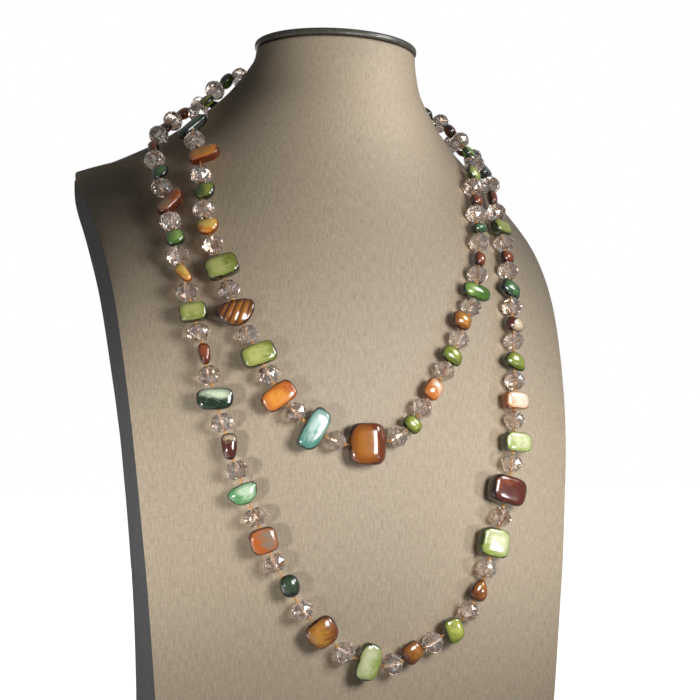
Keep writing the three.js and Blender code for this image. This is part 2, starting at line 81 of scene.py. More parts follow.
# The shells of each turn, in order from the nape over the left shoulder: finish, width across the thread,
# height along it and thickness in millimetres, skew in degrees, shift across the thread in millimetres,
# squareness of the outline and taper, as the frame has them.
INNER_SHELLS = [
    ("green", 8.4, 7.4, 5.4, 0, 0, 2.4, 0.1),
    ("brown", 7.4, 6.8, 5.2, 8, 0, 2.6, 0),
    ("green", 8.6, 7, 5.4, -10, 0, 2.6, 0.15),
    ("olive", 8, 6.6, 4.6, 6, 0, 2.6, 0),
    ("forest", 15.6, 5.4, 4.6, 38, 0.6, 4, 0),
    ("orange", 14.2, 6.4, 6, -7, -2.6, 3.4, 0),
    ("moss", 9.4, 8, 6, 4, -1.4, 2.8, 0.15),
    ("yellow", 9.6, 7.4, 6, -4, 0, 2.6, 0.2),
    ("olive", 14.2, 9.9, 6, 2, -0.5, 4.2, 0),
    ("tortoise", 15.8, 11.4, 5.2, -5, 0.8, 2.3, 0.34),
    ("olive", 14.6, 9.4, 6, -6, -0.2, 4.2, 0),
    ("orange", 15.2, 9.2, 6, 3, 1.2, 4, 0),
    ("teal", 18.7, 9.2, 6.4, 4, 0.4, 3.4, 0.08),
    ("amber", 17.8, 16.6, 8.4, -4, 0.3, 3.8, 0),
    ("moss", 8.8, 6.6, 5.4, 0, 0.6, 2.8, 0),
    ("peach", 8.4, 9.6, 5.6, 0, -0.4, 3, 0),
    ("moss", 10.6, 7.6, 5.6, -4, 0, 2.6, 0.15),
    ("amber", 9.6, 8, 6.4, 6, -2.3, 2.8, 0),
    ("green", 15, 7.4, 6, 10, 0.8, 3, 0),
    ("brown", 5.4, 7, 5, 0, 0.4, 3, 0),
    ("forest", 8.8, 4.6, 6, 14, 0.8, 2.6, 0),
    ("brown", 6.6, 6, 5.4, 0, 1.5, 2.8, 0),
    ("olive", 9.2, 7.2, 5.6, 0, -0.6, 2.8, 0),
    ("green", 8.4, 6, 5, 0, 0, 2.6, 0),
    ("brown", 7.8, 7.2, 5.2, 6, 0, 2.6, 0.1),
    ("olive", 8.6, 7.4, 5.4, -6, 0, 2.6, 0),
    ("green", 8, 7.4, 5.2, 0, 0, 2.8, 0.1),
    ("amber", 8.4, 7.2, 5.4, 5, 0, 2.6, 0),
    ("moss", 8, 7, 5.2, 0, 0, 2.6, 0),
]
OUTER_SHELLS = [
    ("olive", 8, 7, 5.2, 0, 0, 2.6, 0),
    ("amber", 8.4, 7, 5.2, 6, 0, 2.6, 0.1),
    ("forest", 4.6, 12, 4.2, 28, 2.4, 2.8, 0),
    ("orange", 8.2, 7.6, 5.4, 0, 1.2, 2.3, 0),
    ("brown", 6.8, 6.4, 4.8, 0, 0.6, 2.8, 0),
    ("brown", 5, 7.4, 4.8, 10, 0, 2.6, 0.2),
    ("forest", 7.6, 7, 5.2, -8, -1, 2.8, 0.2),
    ("amber", 14, 6.4, 5.8, 36, -2.2, 3.2, 0.1),
    ("green", 8, 7.6, 6.4, 0, -0.6, 2.6, 0),
    ("amber", 4.8, 9.6, 5.4, 24, -0.6, 2.6, 0.2),
    ("olive", 11.6, 8.4, 5.8, -8, 0, 3.8, 0),
    ("brown", 5, 9.4, 5, -6, -0.3, 2.6, 0.2),
    ("green", 15, 9, 6, -12, 0.3, 3.4, 0.06),
    ("brown", 6.4, 11, 5.4, -14, 0, 2.8, 0.2),
    ("mint", 12, 8.4, 6, 4, 0.8, 2.6, 0.3),
    ("brown", 11.4, 10.6, 6.2, -6, 0.5, 3.6, 0),
    ("forest", 8.2, 9.4, 6, -16, -0.8, 2.3, 0),
    ("amber", 13.4, 12, 6.4, -8, 0.2, 2.8, 0.1),
    ("mint", 15.6, 9.8, 6.2, 0, 0, 3.2, 0.06),
    ("tortoise", 9, 9.6, 6, 10, -1.2, 3, 0.1),
    ("yellow_green", 10.6, 8.8, 5.8, -10, 0.9, 3.4, 0.1),
    ("orange", 8, 9.6, 5.8, 8, 0, 2.2, 0.32),
    ("pale_green", 14.8, 12.6, 6, 8, 0, 4.2, 0),
    ("brown", 18.8, 12.6, 7, 2, 0.3, 3.6, 0),
    ("pale_green", 15, 9, 6, 4, 1.8, 3.8, 0),
    ("cream", 13.2, 8, 6, 4, 0.5, 3.8, 0),
    ("moss", 11.2, 8, 5.6, -14, 0.2, 2.6, 0.26),
    ("tortoise", 9.6, 7.2, 5.8, 0, 0.9, 2.6, 0.1),
    ("forest", 11, 8, 5.6, -24, 0.4, 3, 0.1),
    ("brown", 7.4, 6, 5.4, 0, 0.7, 3, 0),
    ("olive", 12.4, 7.2, 5.6, 8, 0.6, 3.6, 0),
    ("brown", 4.8, 9.6, 5, 0, 0, 3, 0),
    ("forest", 10.6, 8.6, 5.4, 24, -0.6, 3.2, 0),
    ("brown", 5.6, 9, 4.8, -12, 0, 2.8, 0.2),
    ("forest", 7.4, 5.8, 5, 0, 0, 2.8, 0),
    ("olive", 7.8, 5.6, 5, 0, 0, 2.6, 0),
    ("brown", 7, 5.8, 5, 0, 0, 2.6, 0),
    ("green", 7.6, 5.6, 5, 0, 0, 2.6, 0),
    ("orange", 7.4, 5.8, 5, 0, 0, 2.6, 0),
]

# Dyed shell: pale nacre of the polished face, deeper dye, and the dark skin left round the rim; some rows
# also hold painted light, as marked
SHELL_COLOURS = {
    "green": ("#a9c470", "#4a7a22", "#10230c"),
    "forest": ("#5c8a54", "#173a20", "#060e08"),
    "moss": ("#aab24a", "#526416", "#1a210a"),
    "olive": ("#c6ca76", "#7a8622", "#1a2409"),
    "mint": ("#cfe6c6", "#5c9c5e", "#15351f"),
    "teal": ("#c3ddd2", "#559484", "#163a32"),
    "pale_green": ("#e4e6b8", "#9fb052", "#27330f"),
    "yellow_green": ("#ced060", "#76851f", "#2b330c"),
    # Yellow is lightened past its own dye: partly the shells' own colour, partly painted light for the
    # shells in the shaded upper left
    "yellow": ("#ffdc6e", "#e8942c", "#7a3812"),
    "orange": ("#f2a040", "#c25e14", "#5c220a"),
    "amber": ("#cf9236", "#87440f", "#381606"),
    "tortoise": ("#b8742a", "#6c310c", "#280c04"),
    "brown": ("#a3552e", "#5c2010", "#230b06"),
    "peach": ("#f5d2ae", "#d67c34", "#702f10"),
    "cream": ("#faead6", "#e8b27c", "#8f4818"),
    # Dark forest dye, with a pale mint top that is a painted reflection of light
    "forest_painted_reflection": ("#e0eecb", "#123018", "#08150b"),
    "spotted": ("#f2deba", "#54200f", "#230b06"),
    "framed": ("#94806e", "#c06424", "#4f1d0b"),
    "frosted": ("#ab9472", "#b5581a", "#5a240c"),
    "ribbed": ("#bc7622", "#4c1d06", "#240b04"),
    "honey": ("#b06a14", "#722f08", "#2e1003"),
    # A lightened copy of orange: painted light for a shell in the shaded upper left
    "orange_painted_lit": ("#ffb04a", "#e27420", "#6e2c0c"),
    "midnight": ("#3e5236", "#101d14", "#050906"),
}

# Shells whose look isn't that of their finish alone
SPECIAL_LOOKS = {
    # This orange shell takes a lightened copy of its colours, as painted light
    ("inner", 6): "orange_painted_lit",
    ("inner", 10): "ribbed",
    ("inner", 14): "honey",
    ("outer", 8): "frosted",
    ("outer", 10): "yellow",
    # The pale mint top of this forest shell is a painted reflection
    ("outer", 13): "forest_painted_reflection",
    ("outer", 14): "spotted",
    ("outer", 16): "framed",
    ("outer", 17): "midnight",
    ("outer", 19): "pale_green",
    ("outer", 22): "tortoise",
    ("outer", 28): "spotted",
}

# Where a shell is pale: the direction on the chest that its pale side faces (0 right, 90 up, degrees),
# how far the pale side reaches past the middle (-1 to 1) and how sharply it ends
PALE_SIDES = {
    ("inner", 6): (70, 0.3, 1.6),
    ("inner", 7): (15, -0.1, 3.0),
    ("inner", 8): (80, 0.1, 4.0),
    ("inner", 9): (215, 0.35, 1.6),
    ("inner", 11): (200, 0.5, 1.4),
    ("inner", 12): (240, 0.25, 1.6),
    ("inner", 14): (185, 0.22, 4.0),
    ("inner", 16): (20, 0.0, 3.5),
    ("inner", 19): (160, -0.2, 3.0),
    ("outer", 8): (230, 0.2, 2.5),
    ("outer", 10): (60, 0.0, 4.0),
    ("outer", 11): (100, 0.4, 1.4),
    # The pale top here is a painted reflection on a dark forest shell
    ("outer", 13): (85, -0.08, 9.0),
    ("outer", 14): (90, -0.5, 6.0),
    ("outer", 15): (60, 0.25, 3.0),
    ("outer", 16): (30, 0.3, 2.0),
    ("outer", 18): (200, 0.2, 1.6),
    ("outer", 19): (150, 0.2, 2.0),
    ("outer", 24): (110, -0.45, 2.0),
    ("outer", 26): (60, 0.5, 1.6),
    ("outer", 28): (330, 0.1, 4.0),
}
DEFAULT_PALE_SIDE = (60, 0.35, 1.0)

# The form of the shells, in millimetres as in the rows above
SQUARE_OUTLINE = 3.2
FLAT_FACED = 4.2
ROUND_FACED = 2.15
SHELL_GRID = (36, 24)
FAN_GRID = (120, 64)
FARTHEST = 20.0
HALVINGS = 40
HOLE_MARGIN = 1.15
DENT_DEPTH = 0.035
DENT_SPACING = 3.0
FAN_SHELL = ("inner", 10)
RIB_PITCH = 2.7
RIB_SPREAD = 0.06
RIB_ACROSS = 0.78
RIB_UP = 0.62
RIB_DEPTH = 0.4
RIBBED_UNEVENNESS = 0.2
RIDGED_SHELL = ("inner", 14)
RIDGE_PLACE = 0.2
RIDGE_FALL = 0.5
RIDGE_BACK_FALL = RIDGE_FALL / 3
RIDGE_ROUNDING = 0.25
RIDGE_SOFTNESS = 0.8

# The bust
FRONT_STEPS = 96
BACK_STEPS = 28
CHEST_TOP = 0.77
CHEST_RINGS = 84
COLLAR_TOP = 0.93
COLLAR_RINGS = 64
NECK_RINGS = 10
HEM_RADIUS = 1.6 * MM
HEM_RINGS = 7
# The collar is smoothed over this height and width, and fades out below and above it
COLLAR_EASE = 6.5 * MM
COLLAR_REACH = 84 * MM
COLLAR_FADE = 26 * MM
COLLAR_FOOT = 0.74
FOOT_FADE = 0.05
HEAD_FADE = 0.04
BOARD_RINGS = 100
CAP_ROUNDING = 0.9 * MM
CAP_SIDES = 96
CAP_STEPS = 4

# The camera, from the photograph's perspective
CAMERA_PLACE = (-0.2052, -0.5638, 0.138)
CAMERA_HEADING = 20.607
CAMERA_PITCH = 3.90
CAMERA_LENS = 67.89
SENSOR_WIDTH = 36.0
FLOOR_REACH = 3.0
CHEST_MIDDLE = (0, -0.03, 0.15)
SPOT_RADIUS = 0.03


def colour(text):
    """An sRGB hex colour as linear values."""
    parts = [int(text[i:i + 2], 16) / 255 for i in (1, 3, 5)]
    linear = [c / 12.92 if c <= 0.04045 else ((c + 0.055) / 1.055) ** 2.4 for c in parts]
    return (*linear, 1.0)


def linked(thing):
    """The object, in the scene."""
    bpy.context.scene.collection.objects.link(thing)
    return thing


def add(tree, kind, inputs=None, **settings):
    """Adds a node. Inputs go by name or number, and each takes a value, a socket, or a node for its first
    output."""
    node = tree.nodes.new(kind)
    for name, value in settings.items():
        setattr(node, name, value)
    for socket, value in (inputs or {}).items():
        source = value.outputs[0] if isinstance(value, bpy.types.Node) else value
        if isinstance(source, bpy.types.NodeSocket):
            tree.links.new(source, node.inputs[socket])
        else:
            node.inputs[socket].default_value = source
    return node


def new_material(name, **shader_inputs):
    """A material with a Principled shader; its inputs are given with _ for a space."""
    material = bpy.data.materials.new(name)
    material.use_nodes = True
    tree = material.node_tree
    tree.nodes.clear()
    inputs = {key.replace("_", " "): value for key, value in shader_inputs.items()}
    shader = add(tree, "ShaderNodeBsdfPrincipled", inputs)
    add(tree, "ShaderNodeOutputMaterial", {"Surface": shader})
    return material, tree, shader


def grains(tree, place, scale, detail, roughness=0.5):
    """Soft noise with so many grains to the unit in each direction."""
    spread = add(tree, "ShaderNodeVectorMath", {0: place, 1: scale}, operation="MULTIPLY")
    inputs = {"Vector": spread, "Scale": 1.0, "Detail": detail, "Roughness": roughness}
    return add(tree, "ShaderNodeTexNoise", inputs)


def layered(tree, value, low, high, under, over, most=1.0):
    """A colour that gives way to another as a value rises from low to high."""
    inputs = {"Value": value, "From Min": low, "From Max": high, "To Max": most}
    share = add(tree, "ShaderNodeMapRange", inputs, interpolation_type="SMOOTHSTEP")
    return add(tree, "ShaderNodeMix", {0: share, 6: under, 7: over}, data_type="RGBA").outputs[2]


def shifted(tree, base, value, low, high, amount):
    """A value moved down or up by an amount as another value rises from low to high."""
    inputs = {"Value": value, "From Min": low, "From Max": high, "To Min": -amount, "To Max": amount}
    shift = add(tree, "ShaderNodeMapRange", inputs, interpolation_type="SMOOTHSTEP")
    return add(tree, "ShaderNodeMath", {0: base, 1: shift}, operation="ADD")


def surfaced(tree, shader, tint, height, strength, depth):
    """Gives a shader its colour and a relief of a depth in metres."""
    tree.links.new(tint, shader.inputs["Base Color"])
    bump = add(tree, "ShaderNodeBump", {"Height": height, "Strength": strength, "Distance": depth})
    tree.links.new(bump.outputs[0], shader.inputs["Normal"])


def linen():
    """Linen-look cloth glued over the form: a low satin sheen, with uneven yarns that run up and down."""
    yarn = 1 / (0.7 * MM)
    material, tree, shader = new_material(
        "woven_linen", Roughness=0.56, Specular_IOR_Level=0.36, Sheen_Weight=0.05, Sheen_Roughness=0.5)
    uv = add(tree, "ShaderNodeUVMap", uv_map="cloth")
    # Yarns are really about 0.4 mm apart and are drawn 0.7 mm apart, so that they show
    warp = grains(tree, uv, (yarn, yarn / 6, 0), 3.0, 0.7)
    slub = grains(tree, uv, (yarn / 2.4, yarn / 20, 0), 2.0, 0.6)
    weft = grains(tree, uv, (yarn / 4, yarn * 0.9, 0), 2.0)
    speck = grains(tree, uv, (yarn * 1.3, yarn * 0.6, 0), 1.0)
    base = layered(tree, warp, 0.3, 0.7, colour("#a5957f"), colour("#bfae95"))
    streaked = layered(tree, slub, 0.3, 0.75, base, colour("#b6a590"), 0.45)
    crossed = layered(tree, weft, 0.35, 0.75, streaked, colour("#8f826b"), 0.24)
    flecked = layered(tree, speck, 0.68, 0.8, crossed, colour("#dad0bb"), 0.3)
    half_weft = add(tree, "ShaderNodeMath", {0: weft, 1: 0.5}, operation="MULTIPLY")
    height = add(tree, "ShaderNodeMath", {0: warp, 1: half_weft}, operation="ADD")
    surfaced(tree, shader, flecked, height, 0.35, 0.2 * MM)
    return material


def board_cloth():
    """Dark grey paper-backed cloth on the board: matt with a fine grain."""
    material, tree, shader = new_material("grey_book_cloth", Roughness=0.8, IOR=1.45)
    place = add(tree, "ShaderNodeTexCoord").outputs["Object"]
    grain = grains(tree, place, (1 / (0.9 * MM), 1 / (0.9 * MM), 1 / (2.4 * MM)), 3.0)
    shade = layered(tree, grain, 0.3, 0.7, colour("#3d3d3d"), colour("#505050"))
    surfaced(tree, shader, shade, grain, 0.3, 0.15 * MM)
    return material


def cap_lacquer():
    """A lacquered wooden disc on the neck: dark brown, satin."""
    material, tree, shader = new_material("lacquered_wood", Roughness=0.38, IOR=1.5, Coat_Weight=0.2)
    place = add(tree, "ShaderNodeTexCoord").outputs["Object"]
    grain = grains(tree, place, (1 / (6 * MM), 1 / (0.8 * MM), 1 / (3 * MM)), 3.0)
    shade = layered(tree, grain, 0.3, 0.7, colour("#423e38"), colour("#57524a"))
    surfaced(tree, shader, shade, grain, 0.15, 0.1 * MM)
    return material


def crystal_glass():
    """Machine-cut glass, champagne pink, with a thin silvery lustre that lies on some facets only. Each
    facet takes a tint at random; the browns and tans among them are painted reflections of dark
    surroundings.
    """
    material, tree, shader = new_material(
        "champagne_crystal", Roughness=0.02, IOR=1.46, Transmission_Weight=0.93, Coat_Weight=0.5,
        Coat_Roughness=0.02, Coat_IOR=1.6)
    facet = add(tree, "ShaderNodeAttribute", attribute_name="facet").outputs["Fac"]
    ramp = add(tree, "ShaderNodeValToRGB", {"Fac": facet})
    # Per-facet tints: white, champagne and pink of the glass itself, and browns and tans that are painted
    # reflections of dark surroundings
    tints_and_painted_reflections = [
        (0.00, "#b08c6e"), (0.16, "#f6e2d0"), (0.34, "#ffffff"), (0.50, "#e8c8ac"), (0.66, "#ffffff"),
        (0.80, "#f1ebee"), (0.90, "#fdf3e6"), (1.00, "#cfac90"),
    ]
    elements = ramp.color_ramp.elements
    while len(elements) < len(tints_and_painted_reflections):
        elements.new(0.5)
    for element, (position, tint) in zip(elements, tints_and_painted_reflections):
        element.position = position
        element.color = colour(tint)
    tree.links.new(ramp.outputs[0], shader.inputs["Base Color"])
    inputs = {"Value": facet, "From Min": 0.72, "From Max": 0.86, "To Max": 0.45}
    lustre = add(tree, "ShaderNodeMapRange", inputs, interpolation_type="SMOOTHSTEP")
    tree.links.new(lustre.outputs[0], shader.inputs["Metallic"])
    return material


def silk_thread():
    """Twisted beading silk, orange brown, waxed."""
    material, tree, shader = new_material("beading_silk", Roughness=0.5, Sheen_Weight=0.3, IOR=1.5)
    place = add(tree, "ShaderNodeTexCoord").outputs["Object"]
    fibre = grains(tree, place, (1 / (0.35 * MM),) * 3, 2.0)
    shade = layered(tree, fibre, 0.3, 0.7, colour("#b87c3c"), colour("#e2b06a"))
    surfaced(tree, shader, shade, fibre, 0.5, 0.1 * MM)
    return material


def dyed_shell(name, unevenness=1.0):
    """Freshwater shell, dyed, tumbled and polished: layered nacre, pale on the face and dark at the rim."""
    pale, deep, skin = SHELL_COLOURS[name]
    material, tree, shader = new_material(
        f"dyed_shell_{name}", Roughness=0.2, IOR=1.53, Coat_Weight=0.8, Coat_Roughness=0.05,
        Subsurface_Weight=0.08, Subsurface_Scale=1.0 * MM)
    grain = add(tree, "ShaderNodeAttribute", attribute_name="grain").outputs["Vector"]
    rim = add(tree, "ShaderNodeAttribute", attribute_name="rim").outputs["Fac"]
    tone = add(tree, "ShaderNodeAttribute", attribute_name="tone").outputs["Fac"]
    # Layers of nacre show as streaks about 0.6 mm wide
    layers = grains(tree, grain, (1 / 5.0, 1 / 0.6, 1 / 3.0), 3.0, 0.6)
    patches = grains(tree, grain, (1 / 3.5,) * 3, 2.0)
    streaked = shifted(tree, tone, layers, 0.2, 0.8, 0.28 * unevenness)
    mottled = shifted(tree, streaked, patches, 0.25, 0.75, 0.22 * unevenness)
    face = layered(tree, mottled, 0.1, 0.95, colour(deep), colour(pale))
    ragged = shifted(tree, rim, patches, 0.2, 0.8, 0.06)
    # The dye is deeper towards the rim, where the shell was ground thinnest
    shaded_face = layered(tree, ragged, 0.45, 0.86, face, colour(deep), 0.62)
    whole = layered(tree, ragged, 0.83, 0.95, shaded_face, colour(skin))
    surfaced(tree, shader, whole, layers, 0.12, 0.08 * MM)
    return material


def new_object(name, vertices, faces, material=None):
    """A mesh object from its points and faces."""
    mesh = bpy.data.meshes.new(name)
    mesh.from_pydata([tuple(v) for v in vertices], [], faces)
    mesh.update()
    if material:
        mesh.materials.append(material)
    return linked(bpy.data.objects.new(name, mesh))


def tube_faces(count, around):
    """The faces of a closed solid through rings of points, each ring with as many points."""
    faces = []
    for r in range(count - 1):
        for a in range(around):
            b = (a + 1) % around
            faces.append([r * around + a, r * around + b, (r + 1) * around + b, (r + 1) * around + a])
    faces.append(list(range(around))[::-1])
    faces.append([(count - 1) * around + a for a in range(around)])
    return faces


def settled(thing):
    """The object with what its modifiers make as a plain mesh."""
    graph = bpy.context.evaluated_depsgraph_get()
    graph.update()
    made = bpy.data.meshes.new_from_object(thing.evaluated_get(graph), depsgraph=graph)
    thing.modifiers.clear()
    old = thing.data
    thing.data = made
    made.name = thing.name
    bpy.data.meshes.remove(old)
    return thing


def shaded(thing, angle):
    """Smooth shading that breaks at edges sharper than an angle in degrees."""
    thing.data.shade_smooth()
    thing.data.set_sharp_from_angle(angle=math.radians(angle))
    return thing


def belongs(thing, slot, *nodes):
    """Puts a piece on its body and hides the frame's nodes that it replaces. Its slot is not used."""
    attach(thing, BODY)
    if nodes:
        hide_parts(*nodes)


def merged_copy(node):
    """A CAD node's triangles with their shared corners joined."""
    copy = bmesh.new()
    copy.from_mesh(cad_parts[node].data)
    bmesh.ops.remove_doubles(copy, verts=copy.verts, dist=MERGE_DISTANCE)
    copy.verts.index_update()
    copy.verts.ensure_lookup_table()
    return copy


def levels_of(copy):
    """The points of a frame's solid, level by level from the ground."""
    levels = {}
    for vertex in copy.verts:
        levels.setdefault(round(vertex.co.z / LEVEL_TOLERANCE), []).append(vertex.co.copy())
    return [levels[key] for key in sorted(levels)]


def thread_rings(rope):
    """The middles of the rope's thread rings, in order from the nape over the left shoulder."""
    short = {}
    for edge in rope.edges:
        if abs(edge.calc_length() - FRAME_THREAD_EDGE) < EDGE_TOLERANCE:
            for vertex, other in (edge.verts, reversed(edge.verts)):
                short.setdefault(vertex.index, set()).add(other.index)
    ring_of = {}
    rings = []
    for start in [index for index, near in short.items() if len(near) == 2]:
        if start in ring_of:
            continue
        members = {start}
        waiting = [start]
        while waiting:
            for near in short[waiting.pop()]:
                if near not in members and len(short.get(near, ())) == 2:
                    members.add(near)
                    waiting.append(near)
        for index in members:
            ring_of[index] = len(rings)
        rings.append(sorted(members))
    centres = [sum((rope.verts[i].co for i in ring), Vector()) / len(ring) for ring in rings]
    steps = {}
    seen = set()
    for ring in range(len(rings)):
        for index in rings[ring]:
            for edge in rope.verts[index].link_edges:
                far = edge.other_vert(rope.verts[index]).index
                if far in ring_of:
                    if ring_of[far] != ring:
                        steps.setdefault(ring, set()).add(ring_of[far])
                elif far not in seen:
                    body = {far}
                    waiting = [far]
                    ends = set()
                    while waiting:
                        for link in rope.verts[waiting.pop()].link_edges:
                            for vertex in link.verts:
                                if vertex.index in ring_of:
                                    ends.add(ring_of[vertex.index])
                                elif vertex.index not in body:
                                    body.add(vertex.index)
                                    waiting.append(vertex.index)
                    seen |= body
                    first, last = sorted(ends)
                    steps.setdefault(first, set()).add(last)
                    steps.setdefault(last, set()).add(first)
    ends = [ring for ring in range(len(rings)) if len(steps[ring]) == 1]
    order = [ends[0]]
    while len(order) < len(rings):
        order.append(next(ring for ring in steps[order[-1]] if ring not in order[-2:]))
    quarter = [centres[ring].x for ring in order[:len(order) // 3]]
    if sum(quarter) > 0:
        order.reverse()
    return [centres[ring] for ring in order]


def bead_places(centres):
    """For each bead of a turn, its middle, its direction along the thread and the way out from the bust."""
    places = []
    for start, end in zip(centres[1:-1:2], centres[2:-1:2]):
        middle = (start + end) / 2
        along = (end - start).normalized()
        near = bust_surface.find_nearest(middle)[0]
        out = middle - near
        out = (out - along * out.dot(along)).normalized()
        places.append((middle, along, out))
    return places


def points_object(name, places):
    """Bare points that carry their directions, for a Geometry Nodes tree."""
    thing = new_object(name, [middle for middle, along, out in places], [])
    attribute = thing.data.attributes.new("along", "FLOAT_VECTOR", "POINT")
    attribute.data.foreach_set("vector", [c for middle, along, out in places for c in along])
    return thing


def new_tree(name, inputs):
    """A Geometry Nodes tree with named inputs, and the outputs of its input node."""
    tree = bpy.data.node_groups.new(name, "GeometryNodeTree")
    tree.interface.new_socket("Geometry", in_out="INPUT", socket_type="NodeSocketGeometry")
    for label, (kind, value) in inputs.items():
        socket = tree.interface.new_socket(label, in_out="INPUT", socket_type=f"NodeSocket{kind}")
        if value is not None:
            socket.default_value = value
    tree.interface.new_socket("Geometry", in_out="OUTPUT", socket_type="NodeSocketGeometry")
    return tree, add(tree, "NodeGroupInput").outputs


def end_tree(tree, geometry, material):
    """Ends a tree with its geometry made real and its material set."""
    real = add(tree, "GeometryNodeRealizeInstances", {0: geometry})
    painted = add(tree, "GeometryNodeSetMaterial", {"Geometry": real, "Material": material})
    add(tree, "NodeGroupOutput", {0: painted})


def grown(thing, tree, **values):
    """The object with what the tree makes of it, as a plain mesh. Inputs are given with _ for a space."""
    modifier = thing.modifiers.new(tree.name, "NODES")
    modifier.node_group = tree
    for item in tree.interface.items_tree:
        key = item.name.replace(" ", "_")
        if item.in_out == "INPUT" and key in values:
            modifier[item.identifier] = values[key]
    return settled(thing)


def on_points(tree, start, instance, spin_seed):
    """The instance on each point, turned to the point's direction and by a random angle about it."""
    along = add(tree, "GeometryNodeInputNamedAttribute", {"Name": "along"}, data_type="FLOAT_VECTOR")
    facing = add(tree, "FunctionNodeAlignRotationToVector", {"Vector": along}, axis="Z")
    turn = add(
        tree, "FunctionNodeRandomValue", {0: (0, 0, 0), 1: (0, 0, math.tau), "Seed": spin_seed},
        data_type="FLOAT_VECTOR")
    turned = add(tree, "FunctionNodeRotateRotation", {0: facing, 1: turn}, rotation_space="LOCAL")
    inputs = {"Points": start["Geometry"], "Instance": instance, "Rotation": turned}
    return add(tree, "GeometryNodeInstanceOnPoints", inputs)


def crystal_tree():
    """Cut rondelles: the hull of staggered rings of points, drilled through."""
    tree, start = new_tree("cut_rondelles", {
        "Diameter": ("Float", CRYSTAL_DIAMETER),
        "Length": ("Float", CRYSTAL_LENGTH),
        "Table": ("Float", CRYSTAL_TABLE),
        "Shoulder": ("Float", CRYSTAL_SHOULDER),
        "Shoulder Rise": ("Float", CRYSTAL_SHOULDER_RISE),
        "Sides": ("Int", CRYSTAL_SIDES),
        "Drill Radius": ("Float", DRILL_RADIUS),
        "Material": ("Material", None),
        "Seed": ("Int", 7),
    })
    half_length = add(tree, "ShaderNodeMath", {0: start["Length"], 1: 0.5}, operation="MULTIPLY")
    half_step = add(tree, "ShaderNodeMath", {0: math.pi, 1: start["Sides"]}, operation="DIVIDE")
    levels = [
        ("Table", half_length, False), ("Shoulder", start["Shoulder Rise"], True), ("Diameter", None, False)]
    rings = []
    for across, rise, staggered in levels:
        radius = add(tree, "ShaderNodeMath", {0: start[across], 1: 0.5}, operation="MULTIPLY")
        circle = add(tree, "GeometryNodeMeshCircle", {"Vertices": start["Sides"], "Radius": radius})
        for side in (1, -1) if rise else (0,):
            inputs = {"Geometry": circle}
            if side:
                level = add(tree, "ShaderNodeMath", {0: rise, 1: float(side)}, operation="MULTIPLY")
                inputs["Translation"] = add(tree, "ShaderNodeCombineXYZ", {"Z": level})
            if staggered:
                inputs["Rotation"] = add(tree, "ShaderNodeCombineXYZ", {"Z": half_step})
            rings.append(add(tree, "GeometryNodeTransform", inputs).outputs[0])
    joined = add(tree, "GeometryNodeJoinGeometry")
    for ring in rings:
        tree.links.new(ring, joined.inputs[0])
    hull = add(tree, "GeometryNodeConvexHull", {0: joined})
    depth = add(tree, "ShaderNodeMath", {0: start["Length"], 1: 1.5}, operation="MULTIPLY")
    inputs = {"Vertices": DRILL_SIDES, "Radius": start["Drill Radius"], "Depth": depth}
    drill = add(tree, "GeometryNodeMeshCylinder", inputs)
    bead = add(tree, "GeometryNodeMeshBoolean", {0: hull, 1: drill}, operation="DIFFERENCE")
    placed = on_points(tree, start, bead, start["Seed"])
    real = add(tree, "GeometryNodeRealizeInstances", {0: placed})
    flat = add(tree, "GeometryNodeSetShadeSmooth", {"Geometry": real, "Shade Smooth": False})
    chance = add(tree, "FunctionNodeRandomValue", {"Seed": start["Seed"]}, data_type="FLOAT").outputs[1]
    tinted = add(
        tree, "GeometryNodeStoreNamedAttribute", {"Geometry": flat, "Name": "facet", "Value": chance},
        data_type="FLOAT", domain="FACE")
    end_tree(tree, tinted, start["Material"])
    return tree


def knot_tree():
    """Knots: each a short coil of the doubled thread."""
    tree, start = new_tree("silk_knots", {
        "Wrap Radius": ("Float", KNOT_WRAP_RADIUS),
        "Thread Radius": ("Float", KNOT_THREAD_RADIUS),
        "Height": ("Float", KNOT_HEIGHT),
        "Material": ("Material", None),
        "Seed": ("Int", 3),
    })
    coil = add(tree, "GeometryNodeCurveSpiral", {
        "Resolution": KNOT_TURN_STEPS, "Rotations": KNOT_TURNS, "Start Radius": start["Wrap Radius"],
        "End Radius": start["Wrap Radius"], "Height": start["Height"]})
    inputs = {"Resolution": STRAND_SIDES, "Radius": start["Thread Radius"]}
    strand = add(tree, "GeometryNodeCurvePrimitiveCircle", inputs)
    inputs = {"Curve": coil, "Profile Curve": strand, "Fill Caps": True}
    tube = add(tree, "GeometryNodeCurveToMesh", inputs)
    middle = add(tree, "ShaderNodeMath", {0: start["Height"], 1: -0.5}, operation="MULTIPLY")
    shift = add(tree, "ShaderNodeCombineXYZ", {"Z": middle})
    centred = add(tree, "GeometryNodeTransform", {"Geometry": tube, "Translation": shift})
    end_tree(tree, on_points(tree, start, centred, start["Seed"]), start["Material"])
    return tree


